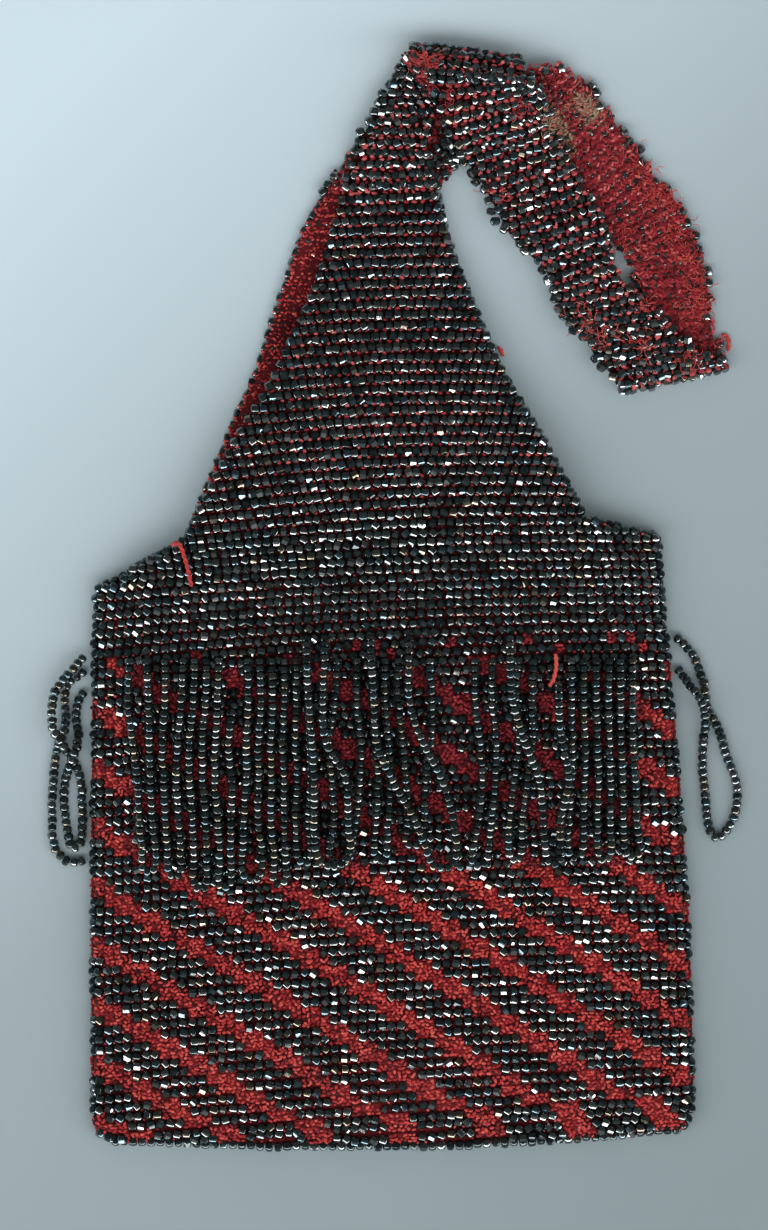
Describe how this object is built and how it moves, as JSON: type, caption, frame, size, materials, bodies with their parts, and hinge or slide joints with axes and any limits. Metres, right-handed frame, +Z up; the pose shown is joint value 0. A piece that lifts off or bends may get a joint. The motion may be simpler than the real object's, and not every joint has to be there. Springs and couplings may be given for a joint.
{
  "type": "beaded evening purse",
  "caption": "Bead-crocheted evening purse lying flat: striped pouch, tapering top, folded wrist strap and a fringe of bead loops.",
  "frame": {"origin": "on the table plane under the pouch's back, at the middle of the pouch's width and about halfway up its body", "axes": "+X across the pouch to the right, +Y along it towards the strap, +Z up from the table through the front"},
  "size_m": [0.1602, 0.2551, 0.0156],
  "materials": {
    "cut_glass_beads": "opaque gunmetal cut glass, glossy facets",
    "red_yarn": "matte twisted yarn, faded and worn in places"
  },
  "bodies": {
    "root": {"pouch": "cut_glass_beads", "wrist_strap": "red_yarn", "fringe_loop_01": "cut_glass_beads", "fringe_loop_02": "cut_glass_beads", "fringe_loop_03": "cut_glass_beads", "fringe_loop_04": "cut_glass_beads", "fringe_loop_05": "cut_glass_beads", "fringe_loop_06": "cut_glass_beads", "fringe_loop_07": "cut_glass_beads", "fringe_loop_08": "cut_glass_beads", "fringe_loop_09": "cut_glass_beads", "fringe_loop_10": "cut_glass_beads", "fringe_loop_11": "cut_glass_beads", "fringe_loop_12": "cut_glass_beads", "fringe_loop_13": "cut_glass_beads", "fringe_loop_14": "cut_glass_beads", "fringe_loop_15": "cut_glass_beads", "fringe_loop_16": "cut_glass_beads", "fringe_loop_17": "cut_glass_beads", "fringe_loop_18": "cut_glass_beads", "side_loop_left_inner": "cut_glass_beads", "side_loop_left_outer": "cut_glass_beads", "side_loop_right": "cut_glass_beads", "yarn_tail_shoulder": "red_yarn", "yarn_tail_fringe": "red_yarn", "yarn_tail_strap": "red_yarn", "yarn_tail_top": "red_yarn"}
  },
  "joints": []
}
